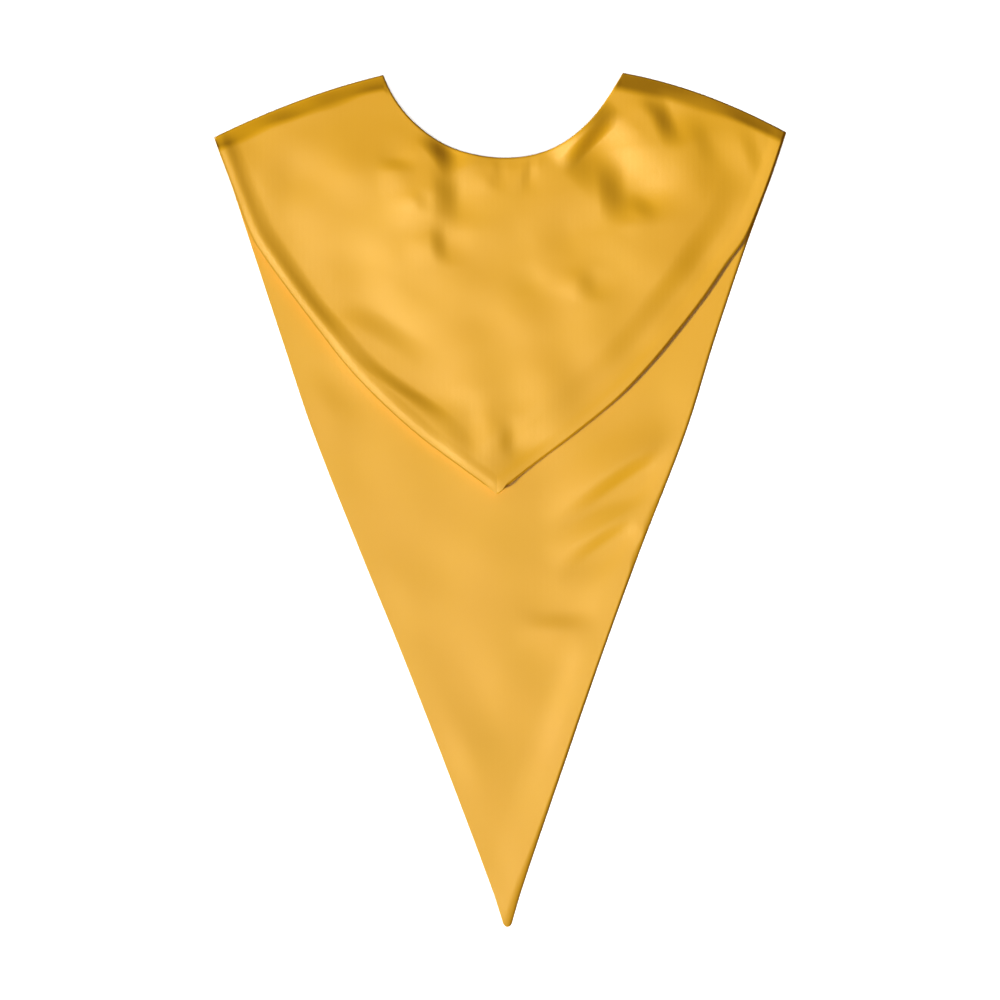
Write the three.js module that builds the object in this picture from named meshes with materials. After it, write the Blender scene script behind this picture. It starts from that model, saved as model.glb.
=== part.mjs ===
// A satin graduation stole, laid flat: a short pointed panel lies on a long pointed one, and the two are
// sewn together along both shoulders, round an open neck.
//
// Millimetres, +Z up off the surface it lies on, +Y from the long point towards the neck, +X to the right
// as seen from above. The origin is under the middle of the garment, on that surface. Each panel is sewn
// double, turned and pressed, so it is a wall of two plies with a rounded rim. The long panel is flat on
// the surface except under its folds, and the short one is loose on top of it.

import * as THREE from "three";

// The cloth.
const WALL = 1.6; // two plies of satin and their seam allowances, pressed
const SEAM_GAP = 0.3; // between the two panels where they are sewn or lie on each other
const RIM_ROUND = 0.5; // how far a turned hem or neck edge bulges past its upper and lower face
const FOLD_ROUND = 1.3; // how far the shoulder rolls in from the seam to the upper or lower face

// The corners of the flat garment.
const SHOULDER_TIP_LEFT = new THREE.Vector2(-266, 337);
const SHOULDER_TIP_RIGHT = new THREE.Vector2(266, 341.5);
const NECK_POINT_LEFT = new THREE.Vector2(-108.5, 395);
const NECK_POINT_RIGHT = new THREE.Vector2(114, 397);
const NECK_BASE = new THREE.Vector2(5, 317.5);
const SHORT_POINT = new THREE.Vector2(-1.5, 5.6);
const LONG_POINT = new THREE.Vector2(7, -397);

// The neck runs from each neck point down to its base on one cubic: steep at first, level at the base.
const NECK_STEEP_LEFT = new THREE.Vector2(13, -38); // first handle, from the neck point
const NECK_STEEP_RIGHT = new THREE.Vector2(-20, -36);
const NECK_LEVEL_LEFT = 62; // second handle's length, along the base's tangent
const NECK_LEVEL_RIGHT = 62;
const HIDDEN_NECK_DROP = 4; // the long panel's neck is cut this much lower, so the short panel hides it
const SHOULDER_BOW_LEFT = 5; // the shoulder seam's rise over its chord
const SHOULDER_BOW_RIGHT = 7;

// Where the hems of each panel lie, from the shoulder tips down. Both hems are one on the other as far as
// the row at 244, where the short panel's turn in towards its point.
const SHORT_HEMS = [
  { y: 341.5, left: -267.5, right: 266 },
  { y: 307, left: -254.5, right: 254.5 },
  { y: 279, left: -244, right: 244 },
  { y: 244, left: -230.5, right: 228.5 },
  { y: 219.5, left: -214.8, right: 211 },
  { y: 189, left: -192.5, right: 190.5 },
  { y: 157, left: -168.3, right: 166 },
  { y: 124.5, left: -142.8, right: 139 },
  { y: 93, left: -113, right: 108.5 },
  { y: 58.5, left: -74.4, right: 66.2 },
  { y: 30.5, left: -37, right: 29 },
  { y: 12, left: -11.6, right: 6 },
];
const LONG_HEMS = [
  { y: 341.5, left: -267.5, right: 266 },
  { y: 307, left: -254.5, right: 254.5 },
  { y: 232.5, left: -230, right: 227.5 },
  { y: 149, left: -202.5, right: 199.5 },
  { y: 65, left: -174.5, right: 173.5 },
  { y: -46.5, left: -130.5, right: 130.5 },
  { y: -139.5, left: -92.5, right: 96.5 },
  { y: -251, left: -49, right: 58 },
  { y: -363, left: -7, right: 20 },
  { y: -394, left: 3, right: 11 },
];

// How the short panel stands off the long one.
const LOFT = 5.4; // the loose middle's lower face over the long panel
const ROLL_LEFT = 9; // the same at the top of the left shoulder's roll
const ROLL_RIGHT = 5.9;
const SLOPE_LEFT = 14; // from the left shoulder seam in to the top of its roll
const SLOPE_RIGHT = 15;
const HEM_STAND = 0.4; // the share of that height that a hem's edge keeps
const HEM_TURN = 7; // how far in from the edge the hem starts to turn down
const GROOVE_FACE = 13; // width of the slope down into the groove inside the left hem
const GROOVE_BACK = 110; // width over which the cloth comes back up from it
const GROOVE = [
  { y: 350, inset: 12, depth: 1.2 },
  { y: 250, inset: 14.5, depth: 1.2 },
  { y: 187, inset: 12.5, depth: 1.5 },
  { y: 128, inset: 17.5, depth: 1.2 },
  { y: 92, inset: 27.5, depth: 1.5 },
  { y: 55, inset: 18, depth: 0.4 },
  { y: 5, inset: 9, depth: 0 },
];

// Folds. A fold is a slope through x, y that runs along angle (degrees from +X) for length both ways, and
// falls by drop to the right of that way, over face to either side. Beyond its face the cloth comes back to
// its level by reach.
const SHORT_FOLDS = [
  { x: -50, y: 283, angle: 92, length: 34, face: 12, reach: 55, drop: 3.2 }, // down from the neck, left
  { x: -57, y: 238, angle: 97, length: 22, face: 9, reach: 35, drop: 1.6 }, // below it
  { x: -56, y: 322, angle: 128, length: 24, face: 11, reach: 30, drop: 3.6 }, // at the neck's left bend
  { x: 82, y: 334, angle: 40, length: 33, face: 8, reach: 36, drop: 7 }, // along the neck's right bend
  { x: 104, y: 288, angle: 97, length: 34, face: 13, reach: 55, drop: 4.2 }, // down from it
  { x: 151, y: 353, angle: 113, length: 32, face: 11, reach: 46, drop: 4.2 }, // off the right shoulder
  { x: 188, y: 333, angle: 111, length: 34, face: 12, reach: 36, drop: 0.8 }, // by the right shoulder tip
  { x: 48, y: 243, angle: 108, length: 40, face: 22, reach: 60, drop: 1.7 }, // the swells of the middle
  { x: 80, y: 200, angle: 90, length: 20, face: 13, reach: 34, drop: 1.4 },
  { x: -118, y: 206, angle: -80, length: 44, face: 26, reach: 60, drop: 1.7 },
  { x: -108, y: 158, angle: 148, length: 52, face: 14, reach: 44, drop: 1.5 }, // beside the groove
  { x: -19, y: 60, angle: -90, length: 46, face: 13, reach: 32, drop: 1.0 }, // up from the short point
];
const LONG_FOLDS = [
  { x: 112, y: 20, angle: 33, length: 64, face: 9, reach: 36, drop: 3.0 }, // in from the right hem
  { x: 98, y: -36, angle: 31, length: 44, face: 9, reach: 34, drop: 2.7 }, // the next one down
  { x: 52, y: -112, angle: 178, length: 44, face: 12, reach: 44, drop: 1.6 }, // level, further down
  { x: 66, y: -190, angle: -112, length: 100, face: 20, reach: 56, drop: 1.5 }, // along the right hem
  { x: -152, y: 96, angle: 140, length: 44, face: 13, reach: 38, drop: 1.0 }, // left, under the short hem
];
const SETTLE = 0.4; // how softly a hollow comes down onto what lies below

// Grids. A panel has one column for each of the points on its top edge, and rows from there to its point.
const SHORT_GRID = { shoulderColumns: 14, neckColumns: 11, rows: 32, rowPower: 1.15 };
const LONG_GRID = { shoulderColumns: 9, neckColumns: 7, rows: 48, rowPower: 0.92 };
const SHOULDER_COLUMN_POWER = 1.5; // columns are closer together towards the shoulder tips
const EDGE_SAMPLES = 160; // points on each outline that distances are measured to
const INSET_REACH = 40; // how far in a rim's move is felt by the rest of the grid

const lerp = THREE.MathUtils.lerp;
const clamp = THREE.MathUtils.clamp;

// The column of a table as a smooth function of y: a cubic through the rows, with each row's slope taken
// from its neighbours.
function alongTable(rows, column, y) {
  const last = rows.length - 1;
  const at = clamp(rows.findIndex((row) => row.y < y) - 1, 0, last - 1);
  const i = rows[last].y >= y ? last - 1 : at;
  const slope = (k) => {
    const above = rows[Math.max(k - 1, 0)];
    const below = rows[Math.min(k + 1, last)];
    return (below[column] - above[column]) / (below.y - above.y);
  };
  const span = rows[i + 1].y - rows[i].y;
  const t = (y - rows[i].y) / span;
  const [t2, t3] = [t * t, t * t * t];
  return (
    (2 * t3 - 3 * t2 + 1) * rows[i][column] +
    (t3 - 2 * t2 + t) * span * slope(i) +
    (3 * t2 - 2 * t3) * rows[i + 1][column] +
    (t3 - t2) * span * slope(i + 1)
  );
}

// The points along a panel's top edge, left to right: shoulder, neck, shoulder. drop lowers the neck.
function topEdge({ shoulderColumns, neckColumns }, drop) {
  const base = NECK_BASE.clone().setY(NECK_BASE.y - drop);
  const bowed = (from, to, bow, share) =>
    from.clone().lerp(to, share).add(new THREE.Vector2(0, 4 * bow * share * (1 - share)));
  const neckSide = (point, steep, level) =>
    new THREE.CubicBezierCurve(
      point,
      point.clone().add(steep).setY(point.y + steep.y - drop / 2),
      base.clone().setX(base.x + level),
      base,
    );
  const edge = [];
  for (let k = 0; k < shoulderColumns; k++) {
    const share = (k / shoulderColumns) ** SHOULDER_COLUMN_POWER;
    edge.push(bowed(SHOULDER_TIP_LEFT, NECK_POINT_LEFT, SHOULDER_BOW_LEFT, share));
  }
  edge.push(...neckSide(NECK_POINT_LEFT, NECK_STEEP_LEFT, -NECK_LEVEL_LEFT).getPoints(neckColumns));
  edge.pop();
  edge.push(...neckSide(NECK_POINT_RIGHT, NECK_STEEP_RIGHT, NECK_LEVEL_RIGHT).getPoints(neckColumns).reverse());
  for (let k = shoulderColumns - 1; k >= 0; k--) {
    const share = (k / shoulderColumns) ** SHOULDER_COLUMN_POWER;
    edge.push(bowed(SHOULDER_TIP_RIGHT, NECK_POINT_RIGHT, SHOULDER_BOW_RIGHT, share));
  }
  return edge;
}

// Where a panel's grid point lies on the surface: its column's share of the way from hem to hem, and its
// row's share of the way from the top edge to the point, whose end bulges over the last row's width as
// 1 - |s|^blunt, where s runs from -1 to 1 across it.
function placeOn(hems, top, point, blunt) {
  const [first, last] = [top[0], top[top.length - 1]];
  const endRow = hems[hems.length - 1].y;
  return (column, share) => {
    const across = (top[column].x - first.x) / (last.x - first.x);
    const left = alongTable(hems, "left", lerp(first.y, endRow, share));
    const right = alongTable(hems, "right", lerp(last.y, endRow, share));
    const end = lerp(endRow, point.y, 1 - Math.abs(2 * across - 1) ** blunt);
    return new THREE.Vector2(lerp(left, right, across), lerp(top[column].y, end, share));
  };
}

// The distance from a spot to a line of points.
function distanceTo(line, spot) {
  let nearest = Infinity;
  for (let k = 1; k < line.length; k++) {
    const along = line[k].clone().sub(line[k - 1]);
    const share = clamp(spot.clone().sub(line[k - 1]).dot(along) / along.lengthSq(), 0, 1);
    nearest = Math.min(nearest, line[k - 1].clone().addScaledVector(along, share).distanceTo(spot));
  }
  return nearest;
}

// A bump that is 1 in the middle, 0 at both ends of -1 to 1 and smooth there.
const bump = (r) => (Math.abs(r) < 1 ? (1 - r * r) ** 2 : 0);

// Rises smoothly from 0 to 1 as t does.
function ramp(t) {
  const share = clamp(t, 0, 1);
  return share * share * (3 - 2 * share);
}

// The height of a list of folds at a spot: across each, a step down through 0 times a bump of its reach.
function folded(folds, spot) {
  return folds.reduce((sum, { x, y, angle, length, face, reach, drop }) => {
    const way = THREE.MathUtils.degToRad(angle);
    const [dx, dy] = [spot.x - x, spot.y - y];
    const along = (dx * Math.cos(way) + dy * Math.sin(way)) / length;
    const across = dx * Math.sin(way) - dy * Math.cos(way);
    const step = clamp(across / face, -1, 1);
    return sum - 0.5 * drop * (1.5 * step - 0.5 * step ** 3) * bump(across / reach) * bump(along);
  }, 0);
}

// A height that softly comes to rest at 0, to within half its softness, instead of going on down.
const settled = (height, softness) => (height + Math.hypot(height, softness) - softness) / 2;

// The long panel's lower face follows its folds only where they rise.
const longLower = (spot) => 0.35 * Math.max(settled(folded(LONG_FOLDS, spot), 0.1), 0);

// Its upper face follows them both ways, down to half the wall.
const longUpper = (spot) => 0.5 * WALL + settled(0.5 * WALL + folded(LONG_FOLDS, spot), 0.3);

// How high the short panel's lower face stands over the long panel's upper one: up from both shoulder seams
// to their rolls, down to the loose middle and to the hems, with the groove inside the left hem.
function shortLift(edges, spot) {
  const [hemLeft, hemRight, shoulderLeft, shoulderRight] = edges.map((line) => distanceTo(line, spot));
  const roll = lerp(ROLL_LEFT, ROLL_RIGHT, ramp((spot.x + 120) / 240));
  const y = clamp(spot.y, 5, 350);
  const inset = alongTable(GROOVE, "inset", y);
  const depth = alongTable(GROOVE, "depth", y);
  const down = ramp((hemLeft - inset) / GROOVE_FACE + 0.5);
  const back = ramp((hemLeft - inset - GROOVE_FACE / 2) / GROOVE_BACK);
  const inside = ramp(Math.min(hemLeft, hemRight) / 20);
  const loose = lerp(LOFT, roll, ramp((spot.y - 150) / 190)) - depth * down * (1 - back);
  const rise = Math.min(1, shoulderLeft / SLOPE_LEFT, shoulderRight / SLOPE_RIGHT);
  const turned = lerp(HEM_STAND, 1, Math.sqrt(1 - (1 - clamp(hemRight / HEM_TURN, 0, 1)) ** 2));
  return settled(loose + folded(SHORT_FOLDS, spot) * inside, SETTLE) * rise * turned;
}

// The normals of a line of points, to its left: at each bend, the sum of its two parts' over 1 plus their
// product.
function normalsOf(line) {
  const parts = line.slice(1).map((end, k) => end.clone().sub(line[k]).normalize());
  const left = parts.map((on) => new THREE.Vector2(-on.y, on.x));
  return line.map((_, k) => {
    const [before, after] = [left[Math.max(k - 1, 0)], left[Math.min(k, left.length - 1)]];
    return before.clone().add(after).divideScalar(Math.max(1 + before.dot(after), 0.5));
  });
}

// The grid with each side moved in by its inset along its normals. A spot's move is the sum of those of its
// row's and column's ends, each fading evenly to none at INSET_REACH or at half the panel's width.
function drawnIn(spots, columns, rows, insetOf) {
  const at = (c, r) => r * columns + c;
  const acrossTop = Array.from({ length: columns }, (_, c) => at(c, 0));
  const acrossEnd = acrossTop.map((_, c) => at(columns - 1 - c, rows - 1));
  const downRight = Array.from({ length: rows }, (_, r) => at(columns - 1, r));
  const upLeft = downRight.map((_, r) => at(0, rows - 1 - r));
  const moveOf = new Map();
  [acrossTop, acrossEnd, downRight, upLeft].forEach((side, which) => {
    const normals = normalsOf(side.map((k) => spots[k]));
    side.forEach((k, n) => moveOf.set(`${which} ${k}`, normals[n].multiplyScalar(insetOf(k))));
  });
  const fade = (away, reach) => clamp(1 - away / reach, 0, 1);
  return spots.map((spot, k) => {
    const [c, r] = [k % columns, Math.floor(k / columns)];
    const [top, end, left, right] = [at(c, 0), at(c, rows - 1), at(0, r), at(columns - 1, r)];
    const half = Math.min(INSET_REACH, (spots[right].x - spots[left].x) / 2);
    return spot
      .clone()
      .addScaledVector(moveOf.get(`0 ${top}`), -fade(spots[top].y - spot.y, INSET_REACH))
      .addScaledVector(moveOf.get(`1 ${end}`), -fade(spot.y - spots[end].y, INSET_REACH))
      .addScaledVector(moveOf.get(`2 ${right}`), -fade(spots[right].x - spot.x, half))
      .addScaledVector(moveOf.get(`3 ${left}`), -fade(spot.x - spots[left].x, half));
  });
}

// One panel as a closed wall. The grid's rim goes once round: top edge, right hem, end, left hem. There
// the upper and lower faces stand in by the rim's roundness, and a ring between them is the outline.
// upperRoll and lowerRoll are those faces' roundness along the shoulder seams.
function panelGeometry({ grid, top, place, upperFace, lowerFace, upperRoll, lowerRoll, seamLevel }) {
  const columns = top.length;
  const rows = grid.rows + 1;
  const spots = [];
  for (let r = 0; r < rows; r++)
    for (let c = 0; c < columns; c++) spots.push(place(c, (r / grid.rows) ** grid.rowPower));

  const index = (c, r) => r * columns + c;
  const rim = [];
  for (let c = 0; c < columns - 1; c++) rim.push(index(c, 0));
  for (let r = 0; r < rows - 1; r++) rim.push(index(columns - 1, r));
  for (let c = columns - 1; c > 0; c--) rim.push(index(c, rows - 1));
  for (let r = rows - 1; r > 0; r--) rim.push(index(0, r));
  const onShoulder = (at) => at < grid.shoulderColumns || (at >= columns - grid.shoulderColumns && at < columns);

  const upperSpots = drawnIn(spots, columns, rows, (at) => (onShoulder(at) ? upperRoll : RIM_ROUND));
  const lowerSpots = drawnIn(spots, columns, rows, (at) => (onShoulder(at) ? lowerRoll : RIM_ROUND));
  const upper = upperSpots.map((spot) => new THREE.Vector3(spot.x, spot.y, upperFace(spot)));
  const lower = lowerSpots.map((spot) => new THREE.Vector3(spot.x, spot.y, lowerFace(spot)));
  const middle = rim.map((at) => {
    const level = lerp(lower[at].z, upper[at].z, onShoulder(at) ? seamLevel : 0.5);
    return new THREE.Vector3(spots[at].x, spots[at].y, level);
  });

  const faces = [];
  const upperAt = (at) => at;
  const lowerAt = (at) => spots.length + at;
  const middleAt = (k) => 2 * spots.length + (k % rim.length);
  const quad = (a, b, c, d) => faces.push(a, b, c, a, c, d);
  for (let r = 0; r < rows - 1; r++)
    for (let c = 0; c < columns - 1; c++) {
      const [a, b, d, e] = [index(c, r), index(c + 1, r), index(c, r + 1), index(c + 1, r + 1)];
      quad(upperAt(a), upperAt(d), upperAt(e), upperAt(b));
      quad(lowerAt(a), lowerAt(b), lowerAt(e), lowerAt(d));
    }
  rim.forEach((at, k) => {
    const next = rim[(k + 1) % rim.length];
    quad(upperAt(at), upperAt(next), middleAt(k + 1), middleAt(k));
    quad(middleAt(k), middleAt(k + 1), lowerAt(next), lowerAt(at));
  });
  const geometry = new THREE.BufferGeometry().setFromPoints([...upper, ...lower, ...middle]);
  geometry.setIndex(faces);
  geometry.computeVertexNormals();
  return geometry;
}

const satin = (color) => new THREE.MeshStandardMaterial({ color, roughness: 0.42, metalness: 0.0, name: "gold satin" });

// The long panel, flat on the surface except under its folds.
function longPanel() {
  const top = topEdge(LONG_GRID, HIDDEN_NECK_DROP);
  const geometry = panelGeometry({
    grid: LONG_GRID,
    top,
    place: placeOn(LONG_HEMS, top, LONG_POINT, 2),
    upperFace: longUpper,
    lowerFace: longLower,
    upperRoll: 0.2,
    lowerRoll: FOLD_ROUND,
    seamLevel: 0.9,
  });
  const mesh = new THREE.Mesh(geometry, satin(0xe8b04a));
  mesh.name = "long_panel";
  return mesh;
}

// The short panel, loose on the long one.
function shortPanel() {
  const top = topEdge(SHORT_GRID, 0);
  const place = placeOn(SHORT_HEMS, top, SHORT_POINT, 1.3);
  const down = (column) => Array.from({ length: EDGE_SAMPLES }, (_, k) => place(column, k / (EDGE_SAMPLES - 1)));
  const { shoulderColumns } = SHORT_GRID;
  const shoulders = [top.slice(0, shoulderColumns + 1), top.slice(-shoulderColumns - 1)];
  const edges = [down(0), down(top.length - 1), ...shoulders];
  const lowerFace = (spot) => longUpper(spot) + SEAM_GAP + shortLift(edges, spot);
  const geometry = panelGeometry({
    grid: SHORT_GRID,
    top,
    place,
    upperFace: (spot) => lowerFace(spot) + WALL,
    lowerFace,
    upperRoll: FOLD_ROUND,
    lowerRoll: 0.2,
    seamLevel: 0.1,
  });
  const mesh = new THREE.Mesh(geometry, satin(0xeab24c));
  mesh.name = "short_panel";
  return mesh;
}

const stole = new THREE.Group();
stole.add(longPanel(), shortPanel());

export default stole;
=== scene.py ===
"""A plain gold satin graduation stole, laid out flat: a short pointed panel on a long pointed one.

Both panels are sewn double, turned and pressed, and joined along the two shoulders round an open neck. Every
surface is worked out on a grid from named sizes and short tables, in millimetres, with +Y towards the neck.
"""

import math
from collections import namedtuple

import bpy
import numpy as np
from bpy.props import FloatProperty, PointerProperty, StringProperty
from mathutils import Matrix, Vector


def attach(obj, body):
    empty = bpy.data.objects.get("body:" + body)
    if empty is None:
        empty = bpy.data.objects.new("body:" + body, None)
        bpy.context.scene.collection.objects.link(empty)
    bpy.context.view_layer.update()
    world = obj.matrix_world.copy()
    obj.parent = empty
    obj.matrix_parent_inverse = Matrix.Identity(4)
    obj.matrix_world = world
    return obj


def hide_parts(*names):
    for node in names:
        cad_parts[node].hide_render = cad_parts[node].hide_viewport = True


bl_info = {
    "name": "Graduation Stole",
    "version": (1, 0, 0),
    "blender": (4, 5, 0),
    "location": "View3D > Sidebar > Stole",
    "description": "Cuts, lays out and lights a satin graduation stole",
    "category": "Object",
}

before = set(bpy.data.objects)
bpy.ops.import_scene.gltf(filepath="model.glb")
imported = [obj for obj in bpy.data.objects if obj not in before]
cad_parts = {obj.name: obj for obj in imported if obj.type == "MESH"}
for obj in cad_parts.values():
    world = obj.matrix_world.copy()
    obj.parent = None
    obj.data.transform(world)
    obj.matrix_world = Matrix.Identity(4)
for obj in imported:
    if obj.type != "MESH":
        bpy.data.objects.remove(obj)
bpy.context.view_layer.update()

MM = 0.001

# The cut, in millimetres.

SHOULDER_TIP_LEFT = np.array([-266.0, 337.0])
SHOULDER_TIP_RIGHT = np.array([266.0, 341.5])
NECK_POINT_LEFT = np.array([-108.5, 395.0])
NECK_POINT_RIGHT = np.array([114.0, 397.0])
NECK_BASE = np.array([5.0, 317.5])

# The neck's two sides are cubics, steep at the neck points and level at the base.
NECK_STEEP_LEFT = np.array([13.0, -38.0])
NECK_STEEP_RIGHT = np.array([-20.0, -36.0])
NECK_LEVEL = 62.0
SHOULDER_BOW_LEFT = 5.0
SHOULDER_BOW_RIGHT = 7.0

# A panel's grid: its columns along a shoulder and along one side of the neck, its rows, the powers by which
# rows crowd to the top and columns to the shoulders' tips, the y of its point and how blunt that is.
Grid = namedtuple("Grid", "shoulder neck rows row_crowd tip_crowd point blunt")

LONG_GRID = Grid(shoulder=44, neck=30, rows=260, row_crowd=0.95, tip_crowd=1.6, point=-397.0, blunt=2.0)
SHORT_GRID = Grid(shoulder=66, neck=42, rows=170, row_crowd=1.1, tip_crowd=1.6, point=5.6, blunt=1.3)

HemRow = namedtuple("HemRow", "y left right")

SHORT_HEMS = [
    HemRow(341.5, -267.5, 266.0),
    HemRow(307.0, -254.5, 254.5),
    HemRow(279.0, -244.0, 244.0),
    HemRow(244.0, -230.5, 228.5),
    HemRow(219.5, -214.8, 211.0),
    HemRow(189.0, -192.5, 190.5),
    HemRow(157.0, -168.3, 166.0),
    HemRow(124.5, -142.8, 139.0),
    HemRow(93.0, -113.0, 108.5),
    HemRow(58.5, -74.4, 66.2),
    HemRow(30.5, -37.0, 29.0),
    HemRow(12.0, -11.6, 6.0),
]
LONG_HEMS = [
    HemRow(341.5, -267.5, 266.0),
    HemRow(307.0, -254.5, 254.5),
    HemRow(232.5, -230.0, 227.5),
    HemRow(149.0, -202.5, 199.5),
    HemRow(65.0, -174.5, 173.5),
    HemRow(-46.5, -130.5, 130.5),
    HemRow(-139.5, -92.5, 96.5),
    HemRow(-251.0, -49.0, 58.0),
    HemRow(-363.0, -7.0, 20.0),
    HemRow(-394.0, 3.0, 11.0),
]

# The lie of the cloth, in millimetres.

# A fold is a slope through x, y that runs along angle (degrees from +X) for length both ways, and falls by
# drop to the right of that way, over face to either side. Beyond its face the cloth comes back to its level
# by reach. bend curves the fold towards its left at both ends, and up is the share of the drop by which its
# upper side stands over that level.
Fold = namedtuple("Fold", "x y angle length face reach bend drop up", defaults=[0.5])

SHORT_FOLDS = [
    # From the neck's left half down to the middle.
    Fold(-50, 283, 92, 36, 14, 66, 3, 4.0),
    Fold(-57, 238, 97, 24, 9, 36, -2, 1.9),
    Fold(-74, 277, 90, 12, 7, 28, 0, 0.6),
    Fold(-96, 311, 178, 21, 7, 30, 0, 1.1),
    Fold(-55, 323, 126, 28, 12, 40, 4, 5.4, 0.15),
    # Puckers at the base of the neck.
    Fold(-3, 308, 95, 14, 2.8, 10, 0, 0.7),
    Fold(25, 305, 80, 18, 3.4, 11, 0, 0.7),
    Fold(31, 310, 262, 11, 2.4, 8, 0, 0.35),
    Fold(-7, 297, 100, 14, 7, 20, 0, 0.6),
    Fold(22, 297, 78, 15, 7, 20, 0, 0.6),
    # Along and below the neck's right half.
    Fold(83, 334, 44, 40, 8.5, 60, -2, 8.3, 0.62),
    Fold(104, 288, 97, 38, 15, 84, -2, 4.5, 0.22),
    Fold(131, 273, 150, 22, 10, 34, 0, 1.4),
    Fold(151, 353, 113, 33, 11, 74, 0, 4.1, 0.15),
    Fold(136, 366, 110, 14, 8, 26, 0, 0.8),
    Fold(188, 333, 111, 34, 10, 36, 0, 0.8),
    Fold(234, 322, 108, 30, 9, 30, 0, 1.0),
    # The broad swells of the middle.
    Fold(48, 243, 108, 40, 22, 60, 0, 1.7),
    Fold(80, 200, 90, 18, 12, 34, 0, 1.3),
    Fold(37, 205, 272, 18, 14, 36, 0, 0.6),
    Fold(-118, 206, 280, 46, 30, 70, 0, 0.9),
    Fold(-108, 158, 148, 52, 13, 44, 4, 1.5),
    Fold(-205, 296, 84, 46, 18, 46, 0, 0.9),
    Fold(-30, 132, 118, 44, 26, 60, 0, 0.5),
    Fold(143, 206, 96, 40, 24, 60, 0, 0.7),
    # The fold down to the short point.
    Fold(-19, 60, 270, 46, 13, 32, 0, 1.3),
    Fold(6, 56, 92, 24, 10, 24, 0, 1.2),
]

LONG_FOLDS = [
    Fold(110, 19, 34, 84, 12, 46, -4, 4.2),
    Fold(98, -35, 33, 62, 11, 40, -3, 3.4),
    Fold(136, -28, 110, 18, 6, 18, 0, 1.2),
    Fold(52, -112, 178, 44, 12, 44, 0, 1.6),
    Fold(66, -190, 248, 104, 30, 76, 0, 1.7),
    Fold(-20, -223, 112, 90, 26, 70, 0, 1.0),
    Fold(-152, 96, 140, 44, 18, 46, 0, 0.7),
    Fold(20, -40, 96, 90, 44, 90, 0, 0.6),
]

# How far in from its right hem the long panel turns down. It is fuller where creases run out over the hem.
TurnRow = namedtuple("TurnRow", "y width")

LONG_TURN = [
    TurnRow(345, 2.8),
    TurnRow(60, 3.0),
    TurnRow(4, 4.5),
    TurnRow(-15, 8.0),
    TurnRow(-33, 4.0),
    TurnRow(-51, 7.5),
    TurnRow(-68, 3.2),
    TurnRow(-230, 3.2),
    TurnRow(-300, 4.5),
    TurnRow(-345, 7.0),
    TurnRow(-400, 11.0),
]

# The groove inside the short panel's left hem: how far in its dark face is, and how deep it is.
GrooveRow = namedtuple("GrooveRow", "y inset depth")

LEFT_GROOVE = [
    GrooveRow(350, 12.0, 1.5),
    GrooveRow(300, 12.5, 1.6),
    GrooveRow(250, 14.5, 1.6),
    GrooveRow(220, 14.5, 1.8),
    GrooveRow(187, 13.0, 1.9),
    GrooveRow(160, 15.0, 1.7),
    GrooveRow(128, 17.5, 1.6),
    GrooveRow(108, 22.0, 1.8),
    GrooveRow(92, 26.0, 1.8),
    GrooveRow(74, 26.0, 1.0),
    GrooveRow(55, 20.0, 0.5),
    GrooveRow(30, 11.0, 0.3),
    GrooveRow(5, 9.0, 0.0),
]

# A zone is a stretch over which something changes softly from 0 to 1. A negative length runs the other way.
# Names that end in ACROSS are measured along x, those in ALONG along y, and those in IN inwards from an edge.
Zone = namedtuple("Zone", "start length")

# A spot is a stretch in whose middle something is 1, and 0 from its reach on.
Spot = namedtuple("Spot", "middle reach")

# The rolls: the left one passes into the right one, and the loose middle up to both.
ROLLS_ACROSS = Zone(-120.0, 240.0)
ROLLS_ALONG = Zone(120.0, 220.0)
RIGHT_END_ACROSS = Zone(160.0, 80.0)
NECK_FALL_ACROSS = Spot(-108.0, 80.0)
NECK_FALL_ALONG = Zone(300.0, 60.0)

# The slopes up to them. Their widths are shares of the settings, and grow or shrink along the shoulder. The
# left slope steepens inwards by a power, and the right one takes only a share of the unevenness.
LEFT_WIDTH_AT_TIP = 0.9
LEFT_WIDER = 0.2
LEFT_WIDER_ACROSS = Zone(-240.0, 110.0)
LEFT_NARROWER = 0.25
LEFT_NARROWER_ACROSS = Zone(-165.0, 60.0)
LEFT_STEEPENING = 1.3
RIGHT_WIDTH_AT_NECK = 1.08
RIGHT_NARROWER = 0.36
RIGHT_NARROWER_ACROSS = Zone(130.0, 110.0)
RIGHT_UNEVEN_SHARE = 0.4

# The width of the groove's face, and of its way back up, which is longer beside the shoulders.
GROOVE_FACE = 17.0
GROOVE_BACK = 50.0
GROOVE_BACK_MORE = 75.0
GROOVE_BACK_ALONG = Zone(60.0, 110.0)

# Along both hems the short panel lies lower, but not at the shoulders, nor on the right at the point.
BELOW_SHOULDERS_ALONG = Zone(330.0, -120.0)
ABOVE_POINT_ALONG = Zone(10.0, 50.0)
RIGHT_SINK_IN = Zone(20.0, 26.0)
RIGHT_SINK_MORE = 1.2
RIGHT_SINK_MORE_ALONG = Zone(100.0, 110.0)
LEFT_SINK_IN = Zone(25.0, 90.0)
LEFT_FALL_IN = Zone(0.0, 14.0)
LEFT_FALL_ALONG = Zone(300.0, -120.0)

# At the neck's base it turns down.
NECK_DIP_IN = Zone(0.0, 12.0)
NECK_DIP_ACROSS = Spot(12.0, 70.0)

# Folds run out towards the hems: to nothing on the short panel, to a share of their height on the long one.
SHORT_FOLDS_IN = Zone(0.0, 20.0)
LONG_FOLDS_IN = Zone(0.0, 30.0)
LONG_HEM_SHARE = 0.15

# The seam allowance inside the short panel's hems, and the pressed line beside its left one.
ALLOWANCE_IN = Zone(6.0, 9.0)
PRESSED_DOWN_IN = Zone(0.0, 1.3)
PRESSED_BACK_IN = Zone(1.3, 7.0)

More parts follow.
